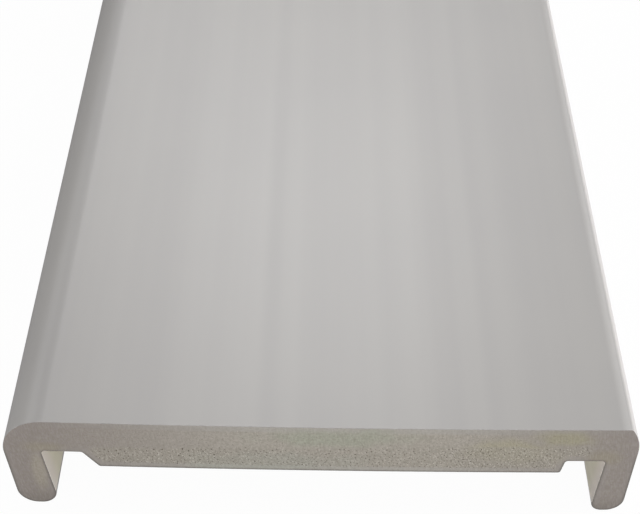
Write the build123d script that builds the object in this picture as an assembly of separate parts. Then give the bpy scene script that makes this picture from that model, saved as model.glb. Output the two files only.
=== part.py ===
# Fascia box end: a board of cellular PVC-U with a leg down both long edges, extruded in one
# piece and sawn to length. It closes the end of a boxed eave and takes the soffit boards
# behind its legs. It lies face up, on the tips of its legs.
#
# The origin is below the middle of the board, at the height of the leg tips.
# X runs across the board, Y along it and Z up to the face. Lengths are in millimetres.

import os
from math import cos, radians, sin, tan

from build123d import *

# The board as a whole
board_width = 175.0  # outside of the left nose to outside of the right nose
board_length = 1250.0  # between the two saw cuts
board_thickness = 18.0  # face to back
leg_depth = 34.7  # face to leg tips

# The recess behind each leg, where a soffit board slots in and the board is thinner
recess_root_radius = 1.0  # where the recess meets the leg
step_edge_radius = 0.8  # where the step meets the back
tip_flat = 0.6  # the least width that a leg keeps to stand on

# The left edge: one round nose, the thicker leg, the deeper recess and the longer slope
left_nose_radius = 12.0
left_toe_in = 5.5  # degrees that the outside of the leg leans in below the board
left_inside_lean = 7.5  # the same for its inside, which thins the leg towards its root
left_leg_foot = 11.2  # across the foot of the leg
left_tip_outside_radius = 5.7
left_tip_inside_radius = 4.6
left_recess_depth = 5.9  # up from the back
left_recess_width = 11.3
left_recess_corner_radius = 1.3  # where the recess turns down its step
left_step_run = 4.4  # how far the step slopes in on its way to the back

# The right edge: the face ends at a tight shoulder, from which a flatter nose falls away
right_shoulder_radius = 1.0
right_flank_lean = 33.0  # degrees off upright at which the nose leaves the shoulder
right_flank_flat = 0.05  # the straight between the shoulder and the nose
right_nose_radius = 15.5
right_toe_in = 2.0
right_inside_lean = 4.0
right_leg_foot = 9.2
right_tip_outside_radius = 5.0
right_tip_inside_radius = 3.1
right_recess_depth = 5.0
right_recess_width = 11.0
right_recess_corner_radius = 1.0
right_step_run = 1.0

back_height = leg_depth - board_thickness


def round_nose(nose_radius, toe_in):
    """The corner of a nose that rises level into the face.

    The corner itself lies a little outside the board, so that the round nose touches the
    board's full width.
    """
    return [(nose_radius * (1 - tan(radians(45 + toe_in / 2))), leg_depth, nose_radius)]


def shouldered_nose(shoulder_radius, flank_lean, flank_flat, nose_radius, toe_in):
    """The corners of a nose that leaves the face at a shoulder: the shoulder's, then its own.

    The flank between them is as long as its two rounds and its straight need.
    """
    half_turn = radians((flank_lean + toe_in) / 2)
    nose = nose_radius * (1 - cos(radians((flank_lean - toe_in) / 2)) / cos(half_turn))
    shoulder_run = shoulder_radius * tan(radians((90 - flank_lean) / 2))
    flank = nose_radius * tan(half_turn) + shoulder_run + flank_flat
    return [
        (nose + flank * sin(radians(flank_lean)), leg_depth, shoulder_radius),
        (nose, leg_depth - flank * cos(radians(flank_lean)), nose_radius),
    ]


def leg_corners(nose_corner, toe_in, leg_foot, tip_outside_radius, tip_inside_radius):
    """The two corners of a leg's tip, below the corner of its nose.

    The tip's rounds shrink together where the leg is too thin for them and its flat.
    """
    nose, nose_height, _ = nose_corner
    tip_outside = nose + nose_height * tan(radians(toe_in))
    tip_inside = tip_outside + leg_foot / cos(radians(toe_in))
    share = min(1, (leg_foot - tip_flat) / (tip_outside_radius + tip_inside_radius))
    return [
        (tip_outside, 0, tip_outside_radius * share),
        (tip_inside, 0, tip_inside_radius * share),
    ]


def recess_corners(tip_inside, inside_lean, depth, width, corner_radius, step_run):
    """The corners of the recess behind a leg: its root, the top of its step and its foot."""
    height = back_height + depth
    leg_root = tip_inside - height * tan(radians(inside_lean))
    return [
        (leg_root, height, recess_root_radius),
        (leg_root + width, height, corner_radius),
        (leg_root + width + step_run, back_height, step_edge_radius),
    ]


def left_corners():
    """The left edge's corners from its nose to the back.

    Each is (distance in from the outside of the board, height, radius).
    """
    nose = round_nose(left_nose_radius, left_toe_in)
    leg = leg_corners(
        nose[-1],
        left_toe_in,
        left_leg_foot,
        left_tip_outside_radius,
        left_tip_inside_radius,
    )
    recess = recess_corners(
        leg[-1][0],
        left_inside_lean,
        left_recess_depth,
        left_recess_width,
        left_recess_corner_radius,
        left_step_run,
    )
    return nose + leg + recess


def right_corners():
    """The right edge's corners from its shoulder to the back, as on the left."""
    nose = shouldered_nose(
        right_shoulder_radius,
        right_flank_lean,
        right_flank_flat,
        right_nose_radius,
        right_toe_in,
    )
    leg = leg_corners(
        nose[-1],
        right_toe_in,
        right_leg_foot,
        right_tip_outside_radius,
        right_tip_inside_radius,
    )
    recess = recess_corners(
        leg[-1][0],
        right_inside_lean,
        right_recess_depth,
        right_recess_width,
        right_recess_corner_radius,
        right_step_run,
    )
    return nose + leg + recess


def board_section():
    """The extruded section, upright in the XZ plane."""
    left, right = left_corners(), right_corners()
    corners = [(inward - board_width / 2, height) for inward, height, _ in left]
    corners += [(board_width / 2 - inward, height) for inward, height, _ in reversed(right)]
    radii = [radius for _, _, radius in left + right[::-1]]
    outline = FilletPolyline(*corners, radius=radii, close=True)
    return Plane.XZ * make_face(outline)


box_end_board = extrude(board_section(), amount=board_length / 2, both=True)

os.makedirs("parts", exist_ok=True)
export_step(box_end_board, "parts/box_end_board.step")

section_area = box_end_board.volume / board_length
print(f"section {section_area:.0f} mm2, volume {box_end_board.volume / 1e9:.6f} m3")
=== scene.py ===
# Fascia box end: a roofline board of cellular PVC-U, lying face up on the tips of its legs.
# X runs across the board, Y along it and Z up. The sawn end at low Y faces the camera.

import math
import random

import bpy
import numpy as np
from mathutils import Matrix, Vector, geometry, kdtree, noise


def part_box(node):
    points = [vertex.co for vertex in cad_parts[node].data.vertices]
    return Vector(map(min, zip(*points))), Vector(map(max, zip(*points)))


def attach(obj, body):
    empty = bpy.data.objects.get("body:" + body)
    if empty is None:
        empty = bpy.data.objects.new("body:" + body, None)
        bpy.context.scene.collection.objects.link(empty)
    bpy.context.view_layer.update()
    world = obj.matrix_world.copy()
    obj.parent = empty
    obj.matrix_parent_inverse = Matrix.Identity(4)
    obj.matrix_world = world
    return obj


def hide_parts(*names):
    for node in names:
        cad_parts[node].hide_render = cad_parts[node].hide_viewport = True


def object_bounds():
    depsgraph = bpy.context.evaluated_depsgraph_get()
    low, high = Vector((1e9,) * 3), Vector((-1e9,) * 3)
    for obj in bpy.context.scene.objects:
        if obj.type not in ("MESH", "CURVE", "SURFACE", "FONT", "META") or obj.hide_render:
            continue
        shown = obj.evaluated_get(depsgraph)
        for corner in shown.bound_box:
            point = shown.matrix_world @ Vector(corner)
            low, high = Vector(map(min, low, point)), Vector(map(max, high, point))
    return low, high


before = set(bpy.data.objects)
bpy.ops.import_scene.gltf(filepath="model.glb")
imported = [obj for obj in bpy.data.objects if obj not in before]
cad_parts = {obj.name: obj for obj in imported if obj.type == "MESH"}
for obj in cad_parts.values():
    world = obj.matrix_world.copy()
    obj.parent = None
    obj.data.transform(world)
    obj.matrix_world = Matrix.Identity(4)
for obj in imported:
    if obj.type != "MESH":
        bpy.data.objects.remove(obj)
cadLow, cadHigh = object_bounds()
mm = 0.001  # the dictionaries below are in millimetres and degrees
print("frame loaded")


def addNode(tree, kind, settings=None, links=None):
    # settings are the node's own properties, links are a socket's name or number with what goes into it
    node = tree.nodes.new(kind)
    for name, value in (settings or {}).items():
        setattr(node, name, value)
    for socket, value in (links or {}).items():
        if isinstance(value, bpy.types.NodeSocket):
            tree.links.new(value, node.inputs[socket])
        else:
            node.inputs[socket].default_value = value
    return node


def linearColour(hexColour):
    # an sRGB hex value, such as "#C8C6C4", as linear red, green, blue and alpha
    levels = [int(hexColour[i:i + 2], 16) / 255 for i in (1, 3, 5)]
    return [v / 12.92 if v <= 0.04045 else ((v + 0.055) / 1.055) ** 2.4 for v in levels] + [1.0]


# The section. Its width, length and height come from the frame, and the rest repeats the drawing.
board = {
    "thickness": 18.0,  # face to back
    "recessRootRadius": 1.0,
    "stepEdgeRadius": 0.8,
    "left": {
        "nose": 12.0, "toeIn": 5.5, "insideLean": 7.5, "foot": 11.2, "tipOutside": 5.7, "tipInside": 4.6,
        "recessDepth": 5.9, "recess": 11.3, "recessCorner": 1.3, "stepRun": 4.4,
    },
    "right": {
        "shoulder": 1.0, "flankLean": 33.0, "flankFlat": 0.05, "nose": 15.5, "toeIn": 2.0,
        "insideLean": 4.0, "foot": 9.2, "tipOutside": 5.0, "tipInside": 3.1,
        "recessDepth": 5.0, "recess": 11.0, "recessCorner": 1.0, "stepRun": 1.0,
    },
    "arcStep": 5.0,  # degrees between the points of a round corner
    "runStep": 13.0,  # the most between the points of a flat
    "rimStep": 0.5,  # the same at the saw cuts, where the mesh is fine
    "runGuard": 0.4,  # a point this near to both ends of a flat keeps its shading flat
    "stretches": 48,  # rows of faces along the board
    "collar": 4.0,  # how far from a cut the fine mesh has turned coarse
    "cutBow": 0.88,  # the blade wandered, so that a cut falls back by this at the board's outsides
    "arris": 0.12,  # how far the broken edge of a cut reaches along the board
    "arrisInset": 0.07,  # and how far it reaches into the section
    "arrisUneven": 0.5,  # the share of that reach by which it varies
    "arrisPatch": 1.3,  # how long its wide and narrow places are
    "arrisWobble": 0.03,  # how much further back the cut lies at its rim in places
    "wobblePatch": 0.9,
    "weld": 0.02,  # points nearer than this are one where the walls meet the far end
    "sharpFrom": 24.0,  # degrees between two faces that shade as an edge
}

# The sawn ends: a dense skin all round, fine foam below the face and open cells near the back. The
# real foam's finest cells are too small to show, so its bubbles are drawn larger and further apart.
foam = {
    "skinBand": 1.7,  # no bubbles nearer the outside than this
    "coarseTop": 25.9,  # height in the middle of the border between the fine foam and the open cells
    "coarseRise": 0.024,  # how much higher that border is for each millimetre to the right
    "coarseLeft": -63.5,  # where the open cells stop
    "coarseRight": 74.0,
    "borderWobble": 0.7,
    "borderPatch": 9.0,  # how long a rise or fall of that border is
    "coarse": {"pitch": 0.92, "radius": (0.17, 0.31), "depth": (0.4, 1.0), "corners": 6},
    "border": {"pitch": 1.2, "radius": (0.24, 0.40), "depth": (0.8, 1.3), "corners": 7},
    "borderSpans": ((-57.0, -34.0), (-3.0, 8.0)),  # where the border has its large bubbles
    "borderReach": 1.0,  # how far below the border they lie
    "fine": {"pitch": 1.05, "radius": (0.13, 0.21), "depth": (0.3, 0.6), "corners": 5},
    "leg": {"pitch": 1.5, "radius": (0.11, 0.18), "depth": (0.2, 0.5), "corners": 5},
    "legFrom": 66.0,  # distance from the middle at which a leg's dense foam starts
    "tries": 90000,  # places that are tried for a bubble
    "squash": (0.85, 1.15),  # a bubble's width over its height
    "ragged": (0.88, 1.1),  # how far its corners are out, as a share of its radius
    "innerRing": (0.55, 0.75),  # size and depth of a large bubble's second ring, as shares of its own
    "innerFrom": 6,  # corners from which a bubble is large
    "poreDepth": 0.34,  # of a bubble with a depth of 1
    "fillPitch": 0.62,  # of the plain points between the bubbles
    "fillRow": 0.87,  # distance of their rows as a share of that
    "fillJitter": 0.13,
    "fillDepth": 0.06,  # the most that they are sunk, as a bubble's depth
    "fillGap": (0.22, 0.42),  # the least from a bubble and from the rim
    "sawRadius": 125.0,  # the blade that cut the board
    "sawCentre": -70.0,  # height of its axle
    "sawPitch": 1.7,
    "sawDepth": 0.02,
    "sawWander": 1.6,  # how many pitches its marks wander
    "wanderPatch": 9.0,
    "seed": 11,
}


def noseCorners(edge, legDepth):
    # a round nose has one corner, and a nose below a shoulder has the shoulder's and its own
    toeIn = math.radians(edge["toeIn"])
    if "shoulder" not in edge:
        return [(edge["nose"] * (1 - math.tan(math.pi / 4 + toeIn / 2)), legDepth, edge["nose"])]
    lean = math.radians(edge["flankLean"])
    halfTurn = (lean + toeIn) / 2
    nose = edge["nose"] * (1 - math.cos((lean - toeIn) / 2) / math.cos(halfTurn))
    shoulderRun = edge["shoulder"] * math.tan((math.pi / 2 - lean) / 2)
    flank = edge["nose"] * math.tan(halfTurn) + shoulderRun + edge["flankFlat"]
    return [
        (nose + flank * math.sin(lean), legDepth, edge["shoulder"]),
        (nose, legDepth - flank * math.cos(lean), edge["nose"]),
    ]


def edgeCorners(edge, legDepth):
    # one edge from its nose round the leg to the back: distance in from the outside, height, radius
    toeIn = math.radians(edge["toeIn"])
    backHeight = legDepth - board["thickness"]
    recessHeight = backHeight + edge["recessDepth"]
    noses = noseCorners(edge, legDepth)
    nose, noseHeight, _ = noses[-1]
    tipOutside = nose + noseHeight * math.tan(toeIn)
    tipInside = tipOutside + edge["foot"] / math.cos(toeIn)
    legRoot = tipInside - recessHeight * math.tan(math.radians(edge["insideLean"]))
    stepTop = legRoot + edge["recess"]
    return noses + [
        (tipOutside, 0, edge["tipOutside"]),
        (tipInside, 0, edge["tipInside"]),
        (legRoot, recessHeight, board["recessRootRadius"]),
        (stepTop, recessHeight, edge["recessCorner"]),
        (stepTop + edge["stepRun"], backHeight, board["stepEdgeRadius"]),
    ]


def sectionOutline(width, legDepth):
    # the outline's points anticlockwise as the camera sees them, each with True on the uncapped back
    left = [(d - width / 2, z, r) for d, z, r in edgeCorners(board["left"], legDepth)]
    right = [(width / 2 - d, z, r) for d, z, r in edgeCorners(board["right"], legDepth)]
    corners = left + right[::-1]
    firstBack, lastBack = 2, 9  # the inside corners of the two leg tips
    arcs = []
    for i, (x, z, radius) in enumerate(corners):
        here = Vector((x, z))
        toLast = (Vector(corners[i - 1][:2]) - here).normalized()
        toNext = (Vector(corners[(i + 1) % len(corners)][:2]) - here).normalized()
        half = toLast.angle(toNext) / 2
        centre = here + (toLast + toNext).normalized() * radius / math.sin(half)
        start = here + toLast * radius / math.tan(half) - centre
        turn = math.pi - 2 * half
        if toLast.cross(toNext) > 0:
            turn = -turn
        count = max(2, math.ceil(abs(math.degrees(turn)) / board["arcStep"]))
        arcs.append([
            centre + Matrix.Rotation(turn * k / count, 2) @ start for k in range(count + 1)
        ])
    points = []
    for i, arc in enumerate(arcs):
        isBack = firstBack < i <= lastBack
        nextIsBack = firstBack <= i < lastBack
        points += [(p, isBack and i < lastBack) for p in arc[:-1]]
        run = arcs[(i + 1) % len(arcs)][0] - arc[-1]
        stops = [0.0]
        if run.length > 3 * board["runGuard"]:  # a shorter flat needs no guards
            guard = board["runGuard"] / run.length
            pieces = math.ceil(run.length / board["runStep"])
            stops += [guard + (1 - 2 * guard) * k / pieces for k in range(pieces + 1)]
        points += [(arc[-1] + run * stop, nextIsBack) for stop in stops]
    return points


def rimPoints(outline):
    # the outline again, finely divided, with each point's outward direction, and the number in it of
    # each of the outline's own points
    rim, outward, starts = [], [], []
    for i, (point, _) in enumerate(outline):
        step = outline[(i + 1) % len(outline)][0] - point
        pieces = max(1, round(step.length / board["rimStep"]))
        starts.append(len(rim))
        rim += [point + step * k / pieces for k in range(pieces)]
    for i, point in enumerate(rim):
        along = rim[(i + 1) % len(rim)] - rim[i - 1]
        outward.append(Vector((along.y, -along.x)).normalized())
    return rim, outward, starts


def insideSection(points, rim):
    # which points are inside the section, by the crossings of a ray
    x, z = points[:, 0], points[:, 1]
    inside = np.zeros(len(points), bool)
    for i, (x0, z0) in enumerate(rim):
        x1, z1 = rim[i - 1]
        if z0 != z1:
            crosses = (z0 > z) != (z1 > z)
            inside ^= crosses & (x < (x1 - x0) * (z - z0) / (z1 - z0) + x0)
    return inside


def foamKind(x, z):
    # which bubbles the foam has at a place on the cut
    noiseRow = 0.3  # off the noise's own grid, on which it is 0
    wobble = noise.noise((x / foam["borderPatch"], noiseRow, foam["seed"]))
    border = foam["coarseTop"] + foam["coarseRise"] * x + foam["borderWobble"] * wobble
    if z < border and foam["coarseLeft"] < x < foam["coarseRight"]:
        isPatch = any(start < x < stop for start, stop in foam["borderSpans"])
        return "border" if isPatch and z > border - foam["borderReach"] else "coarse"
    return "leg" if abs(x) > foam["legFrom"] else "fine"


def layBubbles(rim, chance):
    # bubbles that don't touch, as (x, z, radius, depth, corners), and plain points between them
    lowX, highX = min(p.x for p in rim), max(p.x for p in rim)
    lowZ, highZ = min(p.y for p in rim), max(p.y for p in rim)
    edge = kdtree.KDTree(len(rim))
    for i, p in enumerate(rim):
        edge.insert((p.x, p.y, 0), i)
    edge.balance()
    spots = np.array([
        (chance.uniform(lowX, highX), chance.uniform(lowZ, highZ)) for _ in range(foam["tries"])
    ])
    spots = spots[insideSection(spots, rim)]
    cell, ring = 1.0, 2  # side of the grid's squares, and how many squares away a neighbour can be
    bubbles, grid = [], {}

    def tooNear(x, z, reach):
        column, row = int(x // cell), int(z // cell)
        for i in range(column - ring, column + ring + 1):
            for j in range(row - ring, row + ring + 1):
                for ox, oz, otherReach in grid.get((i, j), ()):
                    if math.hypot(x - ox, z - oz) < (reach + otherReach) / 2:
                        return True
        return False

    for x, z in spots:
        kind = foam[foamKind(x, z)]
        radius = chance.uniform(*kind["radius"])
        if edge.find((x, z, 0))[2] < foam["skinBand"] + radius or tooNear(x, z, kind["pitch"]):
            continue
        grid.setdefault((int(x // cell), int(z // cell)), []).append((x, z, kind["pitch"]))
        bubbles.append((x, z, radius, chance.uniform(*kind["depth"]), kind["corners"]))
    taken = kdtree.KDTree(len(bubbles))
    for i, bubble in enumerate(bubbles):
        taken.insert((bubble[0], bubble[1], 0), i)
    taken.balance()
    pitch, rowShare, jitter = foam["fillPitch"], foam["fillRow"], foam["fillJitter"]
    fill = np.array([
        (lowX + (i + 0.5 * (j % 2)) * pitch + chance.uniform(-jitter, jitter),
         lowZ + j * pitch * rowShare + chance.uniform(-jitter, jitter))
        for j in range(int((highZ - lowZ) / pitch / rowShare) + 1)
        for i in range(int((highX - lowX) / pitch) + 1)
    ])
    bubbleGap, rimGap = foam["fillGap"]
    plain = []
    for x, z in fill[insideSection(fill, rim)]:
        _, number, distance = taken.find((x, z, 0))
        if distance > bubbles[number][2] + bubbleGap and edge.find((x, z, 0))[2] > rimGap:
            plain.append((x, z))
    return bubbles, plain, edge


def unevenness(place, patch, seed):
    # smooth noise from 0 to 1 on the cut, with rises and falls as long as a patch
    return 0.5 + 0.5 * noise.noise((place.x / patch, place.y / patch, seed))


def sawnEnd(outline, cutY, inward, seed):
    # one sawn end with the start of the walls behind it, as vertices, faces and their attributes
    chance = random.Random(seed)
    rim, outward, starts = rimPoints(outline)
    count = len(rim)
    bubbles, plain, edge = layBubbles(rim, chance)
    flat, hollow = [], []
    uneven = board["arrisUneven"]
    outerRing = (1.0, 0.0)
    for point, away in zip(rim, outward):
        rough = unevenness(point, board["arrisPatch"], seed)
        flat.append(point - away * (board["arrisInset"] * (1 - uneven / 2 + uneven * rough)))
        hollow.append(0.0)
    for x, z, radius, depth, corners in bubbles:
        spin = chance.uniform(0, math.pi)
        stretch = chance.uniform(*foam["squash"])
        rings = [outerRing, foam["innerRing"]] if corners >= foam["innerFrom"] else [outerRing]
        for share, sunk in rings:
            for k in range(corners):
                angle = spin + 2 * math.pi * k / corners
                reach = radius * share * chance.uniform(*foam["ragged"])
                across, up = reach * stretch * math.cos(angle), reach * math.sin(angle)
                flat.append(Vector((x + across, z + up)))
                hollow.append(sunk * depth)
        flat.append(Vector((x, z)))
        hollow.append(depth)
    for x, z in plain:
        flat.append(Vector((x, z)))
        hollow.append(chance.uniform(0.0, foam["fillDepth"]))
    insideOnly, tolerance = 1, 1e-5  # keeps the triangles inside the rim, and points this near are one
    points, _, triangles, origins, _, _ = geometry.delaunay_2d_cdt(
        flat, [], [list(range(count))], insideOnly, tolerance,
    )
    if len(points) != len(flat):
        hollow = [hollow[o[0]] if o else 0.0 for o in origins]
    halfWidth = max(p.x for p in rim)

    def bow(x):
        return board["cutBow"] * (x / halfWidth) ** 2

    wobbleSeed = seed + 5
    vertices = []
    for i, p in enumerate(points):
        back = bow(p.x)
        if i < count:
            back += board["arrisWobble"] * unevenness(p, board["wobblePatch"], wobbleSeed)
        vertices.append((p.x, cutY + inward * back, p.y))
    skinDepth = [0.0 if i < count else edge.find((p.x, p.y, 0))[2] for i, p in enumerate(points)]
    rimStart = len(vertices)
    vertices += [(p.x, cutY + inward * (bow(p.x) + board["arris"]), p.y) for p in rim]
    ringStart = len(vertices)
    vertices += [(p.x, cutY + inward * board["collar"], p.y) for p, _ in outline]
    hollow += [0.0] * (len(vertices) - rimStart)
    skinDepth += [0.0] * (len(vertices) - rimStart)
    faces = [tuple(t) for t in triangles]
    sawn = [True] * len(faces)
    uncapped = [False] * len(faces)
    backOfRim = [False] * count
    for i, (_, isBack) in enumerate(outline):
        stop = starts[i + 1] if i + 1 < len(starts) else count
        for k in range(starts[i], stop):
            backOfRim[k] = isBack
    for i in range(count):
        after = (i + 1) % count
        faces.append((i, rimStart + i, rimStart + after, after))
        sawn.append(False)
        uncapped.append(backOfRim[i])
    for i, (_, isBack) in enumerate(outline):
        after = (i + 1) % len(outline)
        stop = starts[i + 1] if i + 1 < len(starts) else count
        between = [rimStart + k % count for k in range(stop, starts[i] - 1, -1)]
        faces.append((ringStart + i, ringStart + after, *between))
        sawn.append(False)
        uncapped.append(isBack)
    if inward < 0:
        faces = [face[::-1] for face in faces]
    return vertices, faces, hollow, skinDepth, sawn, uncapped


def boardEnds(low, high):
    # both sawn ends in one mesh, with nothing between them yet
    width, legDepth = (high.x - low.x) / mm, (high.z - low.z) / mm
    outline = sectionOutline(width, legDepth)
    vertices, faces, hollow, skinDepth, sawn, uncapped = [], [], [], [], [], []
    for cutY, inward, seed in ((low.y / mm, 1, foam["seed"]), (high.y / mm, -1, foam["seed"] + 1)):
        end = sawnEnd(outline, cutY, inward, seed)
        faces += [tuple(k + len(vertices) for k in face) for face in end[1]]
        for whole, part in ((vertices, end[0]), (hollow, end[2]), (skinDepth, end[3])):
            whole += part
        sawn += end[4]
        uncapped += end[5]
    middle = (low.x + high.x) / 2
    mesh = bpy.data.meshes.new("boardEnds")
    mesh.from_pydata([(x * mm + middle, y * mm, z * mm + low.z) for x, y, z in vertices], [], faces)
    for name, kind, domain, values in (
        ("poreDepth", "FLOAT", "POINT", hollow),
        ("skinDepth", "FLOAT", "POINT", skinDepth),
        ("sawn", "BOOLEAN", "FACE", sawn),
        ("uncapped", "BOOLEAN", "FACE", uncapped),
    ):
        mesh.attributes.new(name, kind, domain).data.foreach_set("value", values)
    return mesh


def boardTree(materials):
    # sweeps the near end's open edge to the far end, and works the saw cuts
    tree = bpy.data.node_groups.new("sweptBoard", "GeometryNodeTree")
    tree.interface.new_socket("Geometry", in_out="INPUT", socket_type="NodeSocketGeometry")
    for name in ("Stretch Length", "Pore Depth", "Saw Radius", "Saw Centre", "Saw Pitch", "Saw Depth"):
        tree.interface.new_socket(name, in_out="INPUT", socket_type="NodeSocketFloat")
    tree.interface.new_socket("Stretches", in_out="INPUT", socket_type="NodeSocketInt")
    tree.interface.new_socket("Seed", in_out="INPUT", socket_type="NodeSocketFloat")
    tree.interface.new_socket("Geometry", in_out="OUTPUT", socket_type="NodeSocketGeometry")
    given = addNode(tree, "NodeGroupInput").outputs

    def calc(operation, a, b=0.0):
        return addNode(tree, "ShaderNodeMath", {"operation": operation}, {0: a, 1: b}).outputs[0]

    place = addNode(tree, "GeometryNodeInputPosition").outputs[0]
    axes = addNode(tree, "ShaderNodeSeparateXYZ", links={0: place}).outputs
    faceCount = addNode(tree, "GeometryNodeInputMeshEdgeNeighbors").outputs[0]
    isOpen = addNode(tree, "FunctionNodeCompare", {"data_type": "INT", "operation": "EQUAL"},
                     {2: faceCount, 3: 1}).outputs[0]
    isNear = addNode(tree, "FunctionNodeCompare", {"data_type": "FLOAT", "operation": "LESS_THAN"},
                     {0: axes["Y"], 1: 0.0}).outputs[0]
    nearRing = addNode(tree, "FunctionNodeBooleanMath", {"operation": "AND"},
                       {0: isOpen, 1: isNear}).outputs[0]

    # the walls, one stretch at a time
    stretch = addNode(tree, "ShaderNodeCombineXYZ", links={"Y": given["Stretch Length"]}).outputs[0]
    repeatIn = addNode(tree, "GeometryNodeRepeatInput")
    repeatOut = addNode(tree, "GeometryNodeRepeatOutput")
    repeatIn.pair_with_output(repeatOut)
    repeatOut.repeat_items.new("BOOLEAN", "Ring")
    tree.links.new(given["Stretches"], repeatIn.inputs["Iterations"])
    tree.links.new(given["Geometry"], repeatIn.inputs["Geometry"])
    tree.links.new(nearRing, repeatIn.inputs["Ring"])
    extrude = addNode(tree, "GeometryNodeExtrudeMesh", {"mode": "EDGES"}, {
        "Mesh": repeatIn.outputs["Geometry"],
        "Selection": repeatIn.outputs["Ring"],
        "Offset": stretch,
    })
    tree.links.new(extrude.outputs["Mesh"], repeatOut.inputs["Geometry"])
    tree.links.new(extrude.outputs["Top"], repeatOut.inputs["Ring"])
    joined = addNode(tree, "GeometryNodeMergeByDistance", links={
        "Geometry": repeatOut.outputs["Geometry"], "Selection": isOpen, "Distance": board["weld"] * mm,
    }).outputs[0]

    # the bubbles and the blade's arcs, sunk into both cuts
    hollow = addNode(tree, "GeometryNodeInputNamedAttribute", {"data_type": "FLOAT"},
                     {"Name": "poreDepth"}).outputs["Attribute"]
    depthIn = addNode(tree, "GeometryNodeInputNamedAttribute", {"data_type": "FLOAT"},
                      {"Name": "skinDepth"}).outputs["Attribute"]
    below = calc("SUBTRACT", axes["Z"], given["Saw Centre"])
    radiusSquared = calc("POWER", given["Saw Radius"], 2.0)
    reach = calc("SQRT", calc("SUBTRACT", radiusSquared, calc("POWER", below, 2.0)))
    wander = addNode(tree, "ShaderNodeTexNoise", {"noise_dimensions": "4D"}, {
        "Vector": place, "W": given["Seed"], "Scale": 1 / (foam["wanderPatch"] * mm), "Detail": 1.0,
    }).outputs[0]
    phase = calc("DIVIDE", calc("SUBTRACT", axes["X"], reach), given["Saw Pitch"])
    phase = calc("ADD", phase, calc("MULTIPLY", wander, foam["sawWander"]))
    wave = calc("SINE", calc("MULTIPLY", phase, 2 * math.pi))
    wave = calc("ADD", calc("MULTIPLY", wave, 0.5), 0.5)
    sawMark = calc("MULTIPLY", calc("MULTIPLY", wave, wander), given["Saw Depth"])
    sunk = calc("ADD", calc("MULTIPLY", hollow, given["Pore Depth"]), sawMark)
    sunk = calc("MULTIPLY", sunk, calc("MULTIPLY", calc("SIGN", axes["Y"]), -1.0))
    offset = addNode(tree, "ShaderNodeCombineXYZ", links={"Y": sunk}).outputs[0]
    isCut = addNode(tree, "FunctionNodeCompare", {"data_type": "FLOAT", "operation": "GREATER_THAN"},
                    {0: depthIn, 1: 0.0}).outputs[0]
    worked = addNode(tree, "GeometryNodeSetPosition", links={
        "Geometry": joined, "Selection": isCut, "Offset": offset,
    }).outputs[0]

    # the finishes
    shape = addNode(tree, "GeometryNodeRealizeInstances", links={0: worked}).outputs[0]
    for name, material in (("", materials[0]), ("uncapped", materials[1]), ("sawn", materials[2])):
        setMaterial = addNode(tree, "GeometryNodeSetMaterial", links={
            "Geometry": shape, "Material": material,
        })
        if name:
            where = addNode(tree, "GeometryNodeInputNamedAttribute", {"data_type": "BOOLEAN"},
                            {"Name": name}).outputs["Attribute"]
            tree.links.new(where, setMaterial.inputs["Selection"])
        shape = setMaterial.outputs[0]
    addNode(tree, "NodeGroupOutput", links={"Geometry": shape})
    return tree


def makeBoard(low, high, materials):
    piece = bpy.data.objects.new("boxEndBoard", boardEnds(low, high))
    bpy.context.scene.collection.objects.link(piece)
    print("sawn ends laid out:", len(piece.data.polygons), "faces")
    tree = boardTree(materials)
    sweep = piece.modifiers.new("sweep", "NODES")
    sweep.node_group = tree
    length = high.y - low.y - 2 * board["collar"] * mm
    sizes = {
        "Stretches": board["stretches"],
        "Stretch Length": length / board["stretches"],
        "Pore Depth": foam["poreDepth"] * mm,
        "Saw Radius": foam["sawRadius"] * mm,
        "Saw Centre": foam["sawCentre"] * mm,
        "Saw Pitch": foam["sawPitch"] * mm,
        "Saw Depth": foam["sawDepth"] * mm,
        "Seed": float(foam["seed"]),
    }
    for socket in tree.interface.items_tree:
        if socket.in_out == "INPUT" and socket.name in sizes:
            sweep[socket.identifier] = sizes[socket.name]
    swept = piece.evaluated_get(bpy.context.evaluated_depsgraph_get())
    mesh = bpy.data.meshes.new_from_object(swept)
    piece.modifiers.remove(sweep)
    piece.data = mesh
    mesh.name = "boxEndBoard"
    mesh.polygons.foreach_set("use_smooth", [True] * len(mesh.polygons))
    mesh.set_sharp_from_angle(angle=math.radians(board["sharpFrom"]))
    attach(piece, "root")
    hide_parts("box_end_board")
    print("board swept:", len(mesh.polygons), "faces")


# Co-extruded PVC-U skin: a dense white cap on the foam, smoothed by the die, so it is satin, with
# faint lines drawn along the board and a very slight ripple.
capSkin = {
    "colour": "#C6C3C0",
    "shade": "#C2BFBD",  # the drawn lines and the cloudy patches
    "shadeSpan": (0.75, 1.25),  # of their two noises together, from the colour to the shade
    "speck": "#A5A29F",
    "roughness": 0.35,
    "glossChange": 0.01,
    "glossSpan": (0.3, 0.7),  # of the lines' noise, from the least rough to the most
    "specular": 0.5,
    "ior": 1.53,
    "linePitch": 7.0,  # across the board, of the lines that the die draws
    "lineLength": 1400.0,
    "cloudSize": 70.0,
    "ripplePitch": 3.2,
    "rippleHeight": 0.004,
    "speckPitch": 34.0,  # of the few dark specks
    "speckSize": 0.45,
    "speckCore": 0.5,  # the share of a speck that has its full colour
    "paintedCutLight": None,  # the colour of the painted light next to a cut, where light comes through the foam
    "paintedCutLightReach": (1.5, 9.0),  # from a cut, how far it is full and where it has gone
    "shoulderFall": (81.5, 2.6, 0.3),  # where the face starts to fall to the shoulder, width and drop
}


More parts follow.
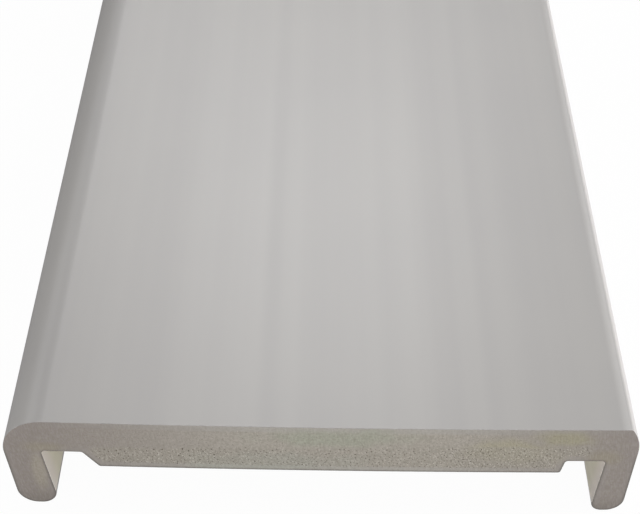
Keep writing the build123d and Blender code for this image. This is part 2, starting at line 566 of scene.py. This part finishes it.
def makeCapSkin(name, look):
    material = bpy.data.materials.new(name)
    material.use_nodes = True
    tree = material.node_tree
    tree.nodes.clear()
    place = addNode(tree, "ShaderNodeTexCoord").outputs["Object"]
    acrossScale, alongScale = 1 / (look["linePitch"] * mm), 1 / (look["lineLength"] * mm)
    drawn = addNode(tree, "ShaderNodeMapping", links={
        "Vector": place, "Scale": (acrossScale, alongScale, acrossScale),
    }).outputs[0]
    lines = addNode(tree, "ShaderNodeTexNoise", links={
        "Vector": drawn, "Scale": 1.0, "Detail": 1.5,
    }).outputs[0]
    clouds = addNode(tree, "ShaderNodeTexNoise", links={
        "Vector": place, "Scale": 1 / (look["cloudSize"] * mm), "Detail": 2.0,
    }).outputs[0]
    patchy = addNode(tree, "ShaderNodeMath", {"operation": "ADD"}, {0: lines, 1: clouds}).outputs[0]
    patchy = addNode(tree, "ShaderNodeMapRange", links={
        "Value": patchy, "From Min": look["shadeSpan"][0], "From Max": look["shadeSpan"][1],
    }).outputs[0]
    colour = addNode(tree, "ShaderNodeMix", {"data_type": "RGBA"}, {
        0: patchy, 6: linearColour(look["colour"]), 7: linearColour(look["shade"]),
    }).outputs[2]
    specks = addNode(tree, "ShaderNodeTexVoronoi", links={
        "Vector": place, "Scale": 1 / (look["speckPitch"] * mm), "Randomness": 1.0,
    })
    speckShare = look["speckSize"] / look["speckPitch"] / 2
    isSpeck = addNode(tree, "ShaderNodeMapRange", links={
        "Value": specks.outputs["Distance"],
        "From Min": speckShare, "From Max": speckShare * look["speckCore"],
    }).outputs[0]
    colour = addNode(tree, "ShaderNodeMix", {"data_type": "RGBA"}, {
        0: isSpeck, 6: colour, 7: linearColour(look["speck"]),
    }).outputs[2]
    # painted light: lighter next to a cut, where more light reaches the walls and comes through the foam
    if look["paintedCutLight"]:
        along = addNode(tree, "ShaderNodeSeparateXYZ", links={0: place}).outputs["Y"]
        along = addNode(tree, "ShaderNodeMath", {"operation": "ABSOLUTE"}, {0: along}).outputs[0]
        near, far = (cadHigh[1] - reach * mm for reach in look["paintedCutLightReach"])
        paintedLightShare = addNode(tree, "ShaderNodeMapRange", {"interpolation_type": "SMOOTHSTEP"}, {
            "Value": along, "From Min": far, "From Max": near,
        }).outputs[0]
        colour = addNode(tree, "ShaderNodeMix", {"data_type": "RGBA"}, {
            0: paintedLightShare, 6: colour, 7: linearColour(look["paintedCutLight"]),
        }).outputs[2]
    gloss = addNode(tree, "ShaderNodeMapRange", links={
        "Value": lines, "From Min": look["glossSpan"][0], "From Max": look["glossSpan"][1],
        "To Min": look["roughness"] - look["glossChange"],
        "To Max": look["roughness"] + look["glossChange"],
    }).outputs[0]
    ripple = addNode(tree, "ShaderNodeTexNoise", links={
        "Vector": place, "Scale": 1 / (look["ripplePitch"] * mm), "Detail": 2.0,
    }).outputs[0]
    height = addNode(tree, "ShaderNodeMath", {"operation": "ADD"}, {0: ripple, 1: lines}).outputs[0]
    if look["shoulderFall"]:  # along a parabola, which is level where it starts
        start, width, drop = look["shoulderFall"]
        across = addNode(tree, "ShaderNodeSeparateXYZ", links={0: place}).outputs["X"]
        fallen = addNode(tree, "ShaderNodeMapRange", links={
            "Value": across, "From Min": start * mm, "From Max": (start + width) * mm,
        }).outputs[0]
        fallen = addNode(tree, "ShaderNodeMath", {"operation": "POWER"}, {0: fallen, 1: 2.0}).outputs[0]
        height = addNode(tree, "ShaderNodeMath", {"operation": "MULTIPLY_ADD"}, {
            0: fallen, 1: -drop / look["rippleHeight"], 2: height,
        }).outputs[0]
    bump = addNode(tree, "ShaderNodeBump", links={
        "Height": height, "Strength": 1.0, "Distance": look["rippleHeight"] * mm,
    }).outputs[0]
    shader = addNode(tree, "ShaderNodeBsdfPrincipled", links={
        "Base Color": colour, "Roughness": gloss, "Normal": bump,
        "Specular IOR Level": look["specular"], "IOR": look["ior"],
    }).outputs[0]
    addNode(tree, "ShaderNodeOutputMaterial", links={"Surface": shader})
    return material


# Self-skinned back of cellular PVC-U: the foam's own chilled skin, without the cap. It is a warmer
# white than the face, more matt, and shows the calibrator's drag along the board. Next to a cut it
# carries painted light: it is lighter there, where more light reaches the walls and comes through the
# foam.
backSkin = dict(
    capSkin, colour="#F5EFDC", shade="#EEE8D4", roughness=0.55, specular=0.4,
    linePitch=2.6, ripplePitch=2.0, rippleHeight=0.012, speckPitch=60.0, paintedCutLight="#FBF2E9",
    shoulderFall=None,
)

# Cellular PVC-U core, sawn: matt foam, denser and browner towards the legs, with pale stains and
# darker patches at the leg roots. Painted shade darkens it further towards both sides, towards the
# floor and along the lower edges. Its open cells near the back have a painted highlight on their walls
# and painted shade inside, and the bubbles have painted shade inside.
sawnFoam = {
    "foam": "#BCB5AB",
    "band": "#BBB6AF",  # the dense skin that the die chilled
    # the legs' denser foam, darkened further by painted shade
    "leg": "#9D9490",
    # painted shade on the legs near the floor
    "tip": "#857D77",
    "rim": "#7B7772",  # painted shade, a dark line along the lower edges
    # painted highlight on the open cells' walls, also the pale colour of the saw's strokes
    "cellHighlightAndStroke": "#DAD4CA",
    # painted shade in the open cells
    "cellShade": "#ACA59A",
    # painted shade inside the bubbles
    "poreShade": "#817A6E",
    "grain": "#938D80",
    "roughness": 0.75,
    "specular": 0.25,
    "ior": 1.5,
    "leftLegAndShade": (-18.0, -78.0),  # where the foam starts to turn into the leg's darker foam and painted shade, and where it has
    "rightLegAndShade": (34.0, 86.0),
    "legAndShadeShare": 0.95,  # a share is how much of its colour shows
    "tipFrom": 7.0,  # height below which painted shade darkens a leg towards the floor
    "tipShare": 0.6,
    "bandWidth": 2.1,
    "bandFade": 0.5,
    "rimShadeWidth": 1.0,
    "rimShadeHeights": (26.0, 20.0),  # where the painted shade at the rim starts, and where it is full
    "rimShadeShare": 0.9,
    "cell": (0.48, 0.95),  # width and length of the open cells
    "cellLean": -28.0,  # degrees off upright
    "cellEdge": (0.5, 0.15),  # from a cell's painted shade to its painted highlight
    "cellFray": 3.0,  # how ragged the open cells' border is
    "cellFade": (2.2, 0.9),  # above the border, where they start and where they are full
    "cellEnds": (1.03, 0.97),  # the same at their left and right ends, as shares of the way there
    "cellInBand": 0.2,  # how much of them shows in the dense skin
    "quietMiddle": 8.0,  # where the open cells stand out least
    "quietReach": (8.0, 50.0),  # from there, where they start to stand out more and where they do most
    "quietShare": (0.35, 0.7),
    "stroke": (0.4, 2.2),  # of the saw's strokes
    "strokeLean": -8.0,
    "strokeSpan": (0.4, 0.7),  # of their noise, from none to full
    "strokeShare": 0.12,
    "grainPitch": 0.6,
    "grainHeight": 0.05,
    "grainSpan": (0.35, 0.65),  # as above
    "grainShare": 0.42,
    "grainInBand": 0.6,  # how much of the grain shows in the dense skin
    "poreShadeSpan": (0.1, 1.2),  # a bubble's depth, from the foam's colour to the painted shade's
    "poreShadeShare": 0.75,
    "patchSize": 9.0,
    "stainFray": 1.2,  # how ragged the stains are
    "stainSpan": (1.9, 1.0),  # in reaches from a stain's middle, where it starts and where it is full
    "stainShare": 0.85,
    "stains": [  # middle, reach across and up, colour
        ((5.0, 30.7), (21.0, 3.6), "#B3B5A5"),
        ((-17.0, 20.0), (31.0, 3.8), "#B9B9AF"),
        ((54.0, 25.5), (14.0, 5.0), "#B7B098"),
        ((66.0, 31.0), (8.0, 3.4), "#B0AA90"),
        # these two darken the cut round the two leg roots
        ((-76.0, 24.0), (8.0, 2.6), "#A39A8B"),
        ((78.0, 23.0), (5.0, 3.0), "#A39A8B"),
        ((-78.4, 15.0), (2.4, 9.0), "#B1A89B"),
    ],
}


def makeSawnFoam(name, look):
    material = bpy.data.materials.new(name)
    material.use_nodes = True
    tree = material.node_tree
    tree.nodes.clear()

    def blend(share, a, b):
        return addNode(tree, "ShaderNodeMix", {"data_type": "RGBA"}, {
            0: share, 6: a if isinstance(a, bpy.types.NodeSocket) else linearColour(a),
            7: b if isinstance(b, bpy.types.NodeSocket) else linearColour(b),
        }).outputs[2]

    def ramp(value, start, stop, low=0.0, high=1.0, way="SMOOTHSTEP"):
        return addNode(tree, "ShaderNodeMapRange", {"interpolation_type": way}, {
            "Value": value, "From Min": start, "From Max": stop, "To Min": low, "To Max": high,
        }).outputs[0]

    def calc(operation, a, b, c=0.0):
        return addNode(tree, "ShaderNodeMath", {"operation": operation}, {0: a, 1: b, 2: c}).outputs[0]

    def stretched(middle, reach, lean):
        # the cut's plane turned by a lean, and measured in reaches from a middle
        lengthReach = 1000.0  # metres along the board, so that its length makes no difference
        return addNode(tree, "ShaderNodeMapping", {"vector_type": "TEXTURE"}, {
            "Vector": place,
            "Location": (middle[0] * mm, 0.0, middle[1] * mm),
            "Rotation": (0.0, math.radians(lean), 0.0),
            "Scale": (reach[0] * mm, lengthReach, reach[1] * mm),
        }).outputs[0]

    place = addNode(tree, "ShaderNodeTexCoord").outputs["Object"]
    axes = addNode(tree, "ShaderNodeSeparateXYZ", links={0: place}).outputs
    depthIn = addNode(tree, "ShaderNodeAttribute", {"attribute_name": "skinDepth"}).outputs["Fac"]
    hollow = addNode(tree, "ShaderNodeAttribute", {"attribute_name": "poreDepth"}).outputs["Fac"]
    cells = addNode(tree, "ShaderNodeTexVoronoi", links={
        "Vector": stretched((0.0, 0.0), look["cell"], look["cellLean"]), "Scale": 1.0,
    }).outputs["Distance"]
    strokes = addNode(tree, "ShaderNodeTexNoise", links={
        "Vector": stretched((0.0, 0.0), look["stroke"], look["strokeLean"]),
        "Scale": 1.0, "Detail": 1.0,
    }).outputs[0]
    grain = addNode(tree, "ShaderNodeTexNoise", links={
        "Vector": place, "Scale": 1 / (look["grainPitch"] * mm), "Detail": 2.0, "Roughness": 0.6,
    }).outputs[0]
    patches = addNode(tree, "ShaderNodeTexNoise", links={
        "Vector": place, "Scale": 1 / (look["patchSize"] * mm), "Detail": 1.0,
    }).outputs[0]

    inBand = ramp(depthIn, look["bandWidth"] + look["bandFade"], look["bandWidth"] - look["bandFade"])
    colour = blend(inBand, look["foam"], look["band"])
    # the legs' denser, browner foam, with painted shade that darkens the cut towards both sides, more on
    # the left
    for side in ("leftLegAndShade", "rightLegAndShade"):
        start, stop = look[side]
        share = ramp(axes["X"], start * mm, stop * mm, 0.0, look["legAndShadeShare"], "LINEAR")
        colour = blend(share, colour, look["leg"])
    for middle, reach, stain in look["stains"]:
        away = addNode(tree, "ShaderNodeVectorMath", {"operation": "LENGTH"}, {
            0: stretched(middle, reach, 0.0),
        }).outputs["Value"]
        ragged = calc("MULTIPLY_ADD", patches, look["stainFray"], away)
        colour = blend(ramp(ragged, *look["stainSpan"], 0.0, look["stainShare"]), colour, stain)
    # painted shade: the legs darken towards the floor
    colour = blend(ramp(axes["Z"], look["tipFrom"] * mm, 0.0, 0.0, look["tipShare"]), colour, look["tip"])

    # the open cells, with a painted highlight on their walls and painted shade inside, below a border
    # that climbs to the right as the bubbles' own does
    height = calc("MULTIPLY_ADD", patches, look["cellFray"] * mm, axes["Z"])
    height = calc("MULTIPLY_ADD", axes["X"], -foam["coarseRise"], height)
    isCoarse = ramp(height, *((foam["coarseTop"] + above) * mm for above in look["cellFade"]))
    for edge in ("coarseLeft", "coarseRight"):
        inside = ramp(axes["X"], *(foam[edge] * mm * share for share in look["cellEnds"]))
        isCoarse = calc("MULTIPLY", isCoarse, inside)
    isCoarse = calc("MULTIPLY", isCoarse, ramp(inBand, 0.0, 1.0, 1.0, look["cellInBand"]))
    aside = calc("ABSOLUTE", calc("SUBTRACT", axes["X"], look["quietMiddle"] * mm), 0.0)
    lively = ramp(aside, *(reach * mm for reach in look["quietReach"]), *look["quietShare"])
    paintedCellLight = blend(ramp(cells, *look["cellEdge"]), look["cellShade"], look["cellHighlightAndStroke"])
    colour = blend(calc("MULTIPLY", isCoarse, lively), colour, paintedCellLight)

    # the grain, the saw's strokes, and the painted shade along the lower edges and in the bubbles
    grainShare = ramp(grain, *look["grainSpan"], 0.0, look["grainShare"])
    grainShare = calc("MULTIPLY", grainShare, ramp(inBand, 0.0, 1.0, 1.0, look["grainInBand"]))
    colour = blend(grainShare, colour, look["grain"])
    colour = blend(ramp(strokes, *look["strokeSpan"], 0.0, look["strokeShare"]), colour, look["cellHighlightAndStroke"])
    # painted shade along the lower edges
    isLow = ramp(axes["Z"], *(level * mm for level in look["rimShadeHeights"]), 0.0, look["rimShadeShare"])
    atRimShade = calc("MULTIPLY", ramp(depthIn, look["rimShadeWidth"], 0.0), isLow)
    colour = blend(atRimShade, colour, look["rim"])
    # painted shade inside the bubbles, darker in the deeper ones
    colour = blend(ramp(hollow, *look["poreShadeSpan"], 0.0, look["poreShadeShare"]), colour, look["poreShade"])
    bump = addNode(tree, "ShaderNodeBump", links={
        "Height": grain, "Strength": 1.0, "Distance": look["grainHeight"] * mm,
    }).outputs[0]
    shader = addNode(tree, "ShaderNodeBsdfPrincipled", links={
        "Base Color": colour, "Normal": bump, "Roughness": look["roughness"],
        "Specular IOR Level": look["specular"], "IOR": look["ior"],
    }).outputs[0]
    addNode(tree, "ShaderNodeOutputMaterial", links={"Surface": shader})
    return material


finishes = [
    makeCapSkin("coextrudedPvcSkin", capSkin),
    makeCapSkin("selfSkinnedPvcBack", backSkin),
    makeSawnFoam("sawnCellularPvc", sawnFoam),
]
print("materials made")

boxLow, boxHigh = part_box("box_end_board")
makeBoard(boxLow, boxHigh, finishes)

# Floor and world: white to the camera, plain light for everything else, more of it from the right.
# A gloss shows little of the white on the left and most of it on the right.
studio = {
    "floorSize": 12.0,  # metres
    "floorColour": "#9C9C9C",
    "floorGlow": 1.1,
    "glowShare": 0.88,  # how much of the floor's look the white takes, the rest shows its shadows
    "worldLight": (0.12, 0.36),  # plain light from straight left and from straight right
    "glossWhite": (0.1, 0.9),  # how much of the white a gloss shows on the left and on the right
    "glossTurn": 0.09,  # metres from the middle, or share of a direction, at which it has turned
    "aim": (0.0, -0.5, 0.03),  # metres from the middle of the board
    "lamps": {  # place, width, height, power
        "rimLamp": ((2.5, -0.3, 0.25), 0.8, 0.3, 38.0),
        "sheenLamp": ((0.0, 3.2, 3.4), 1.4, 1.4, 48.0),
        "noseLamp": ((-2.0, 2.9, 2.5), 3.6, 1.4, 30.0),
        "shoulderLamp": ((2.2, 2.8, 2.4), 1.2, 1.2, 20.0),
        "frontLamp": ((0.0, -1.1, 0.15), 0.6, 0.2, 0.57),
        "leftLamp": ((-1.0, -1.3, 0.16), 0.7, 0.2, 3.8),
        "rightLamp": ((1.0, -1.3, 0.16), 0.7, 0.2, 5.0),
    },
}


def seenDirectly(tree, place):
    # 1 for rays from the camera or through a clear material, and the share of a gloss for its rays
    path = addNode(tree, "ShaderNodeLightPath").outputs
    sideways = addNode(tree, "ShaderNodeSeparateXYZ", links={0: place}).outputs["X"]
    share = addNode(tree, "ShaderNodeMapRange", links={
        "Value": sideways, "From Min": -studio["glossTurn"], "From Max": studio["glossTurn"],
        "To Min": studio["glossWhite"][0], "To Max": studio["glossWhite"][1],
    }).outputs[0]
    gloss = addNode(tree, "ShaderNodeMath", {"operation": "MULTIPLY"},
                    {0: path["Is Glossy Ray"], 1: share}).outputs[0]
    seen = addNode(tree, "ShaderNodeMath", {"operation": "MAXIMUM"},
                   {0: path["Is Camera Ray"], 1: gloss}).outputs[0]
    return addNode(tree, "ShaderNodeMath", {"operation": "MAXIMUM"},
                   {0: seen, 1: path["Is Transmission Ray"]}).outputs[0]


def makeFloor():
    half = studio["floorSize"] / 2
    mesh = bpy.data.meshes.new("studioFloor")
    corners = [(-half, -half, 0), (half, -half, 0), (half, half, 0), (-half, half, 0)]
    mesh.from_pydata(corners, [], [(0, 1, 2, 3)])
    floor = bpy.data.objects.new("studioFloor", mesh)
    bpy.context.scene.collection.objects.link(floor)
    material = bpy.data.materials.new("paleStudioFloor")
    material.use_nodes = True
    tree = material.node_tree
    tree.nodes.clear()
    plain = addNode(tree, "ShaderNodeBsdfDiffuse", links={
        "Color": linearColour(studio["floorColour"]),
    }).outputs[0]
    glow = addNode(tree, "ShaderNodeEmission", links={"Strength": studio["floorGlow"]}).outputs[0]
    place = addNode(tree, "ShaderNodeNewGeometry").outputs["Position"]
    share = addNode(tree, "ShaderNodeMath", {"operation": "MULTIPLY"},
                    {0: seenDirectly(tree, place), 1: studio["glowShare"]}).outputs[0]
    mixed = addNode(tree, "ShaderNodeMixShader", links={0: share, 1: plain, 2: glow}).outputs[0]
    addNode(tree, "ShaderNodeOutputMaterial", links={"Surface": mixed})
    mesh.materials.append(material)


def makeWorld():
    world = bpy.data.worlds.new("studioWorld")
    bpy.context.scene.world = world
    world.use_nodes = True
    tree = world.node_tree
    tree.nodes.clear()
    direction = addNode(tree, "ShaderNodeTexCoord").outputs["Generated"]
    sideways = addNode(tree, "ShaderNodeSeparateXYZ", links={0: direction}).outputs["X"]
    plain = addNode(tree, "ShaderNodeMapRange", links={
        "Value": sideways, "From Min": -1.0, "From Max": 1.0,
        "To Min": studio["worldLight"][0], "To Max": studio["worldLight"][1],
    }).outputs[0]
    strength = addNode(tree, "ShaderNodeMapRange", links={
        "Value": seenDirectly(tree, direction), "To Min": plain, "To Max": 1.0,
    }).outputs[0]
    background = addNode(tree, "ShaderNodeBackground", links={
        "Color": linearColour("#FFFFFF"), "Strength": strength,
    }).outputs[0]
    addNode(tree, "ShaderNodeOutputWorld", links={"Surface": background})


def makeLamp(name, place, width, height, power):
    lamp = bpy.data.lights.new(name, "AREA")
    lamp.shape = "RECTANGLE"
    lamp.size = width
    lamp.size_y = height
    lamp.energy = power
    holder = bpy.data.objects.new(name, lamp)
    bpy.context.scene.collection.objects.link(holder)
    holder.location = place
    towardsAim = Vector(studio["aim"]) - Vector(place)
    holder.rotation_euler = towardsAim.to_track_quat("-Z", "Y").to_euler()
    holder.visible_camera = False


makeFloor()
makeWorld()
for lampName, settings in studio["lamps"].items():
    makeLamp(lampName, *settings)
print("studio made")

# The photographer's place: a short way in front of the near end, looking down on the face.
photoCamera = {
    "beside": -1.87,  # from the middle of the board
    "before": 252.62,  # from the near end
    "above": 326.66,  # from the floor
    "pitchDown": 42.266,
    "turn": -0.195,
    "tilt": -1.0,
    "lens": 79.896,
    "sensor": 36.0,
}


def makeCamera(low, high):
    pitch, turn, tilt = (math.radians(photoCamera[key]) for key in ("pitchDown", "turn", "tilt"))
    turned = Matrix.Rotation(turn, 3, "Z")
    ahead = turned @ Vector((0, math.cos(pitch), -math.sin(pitch)))
    right = turned @ Vector((1, 0, 0))
    down = turned @ Vector((0, -math.sin(pitch), -math.cos(pitch)))
    tiltedRight = right * math.cos(tilt) + down * math.sin(tilt)
    tiltedDown = down * math.cos(tilt) - right * math.sin(tilt)
    holder = bpy.data.objects.new("photoCamera", bpy.data.cameras.new("photoCamera"))
    bpy.context.scene.collection.objects.link(holder)
    holder.data.sensor_width = photoCamera["sensor"]
    holder.data.lens = photoCamera["lens"]
    pose = Matrix((tiltedRight, -tiltedDown, -ahead)).transposed().to_4x4()
    pose.translation = Vector((
        (low.x + high.x) / 2 + photoCamera["beside"] * mm,
        low.y - photoCamera["before"] * mm,
        low.z + photoCamera["above"] * mm,
    ))
    holder.matrix_world = pose
    bpy.context.scene.camera = holder


makeCamera(boxLow, boxHigh)
bpy.context.scene.view_settings.view_transform = "Standard"
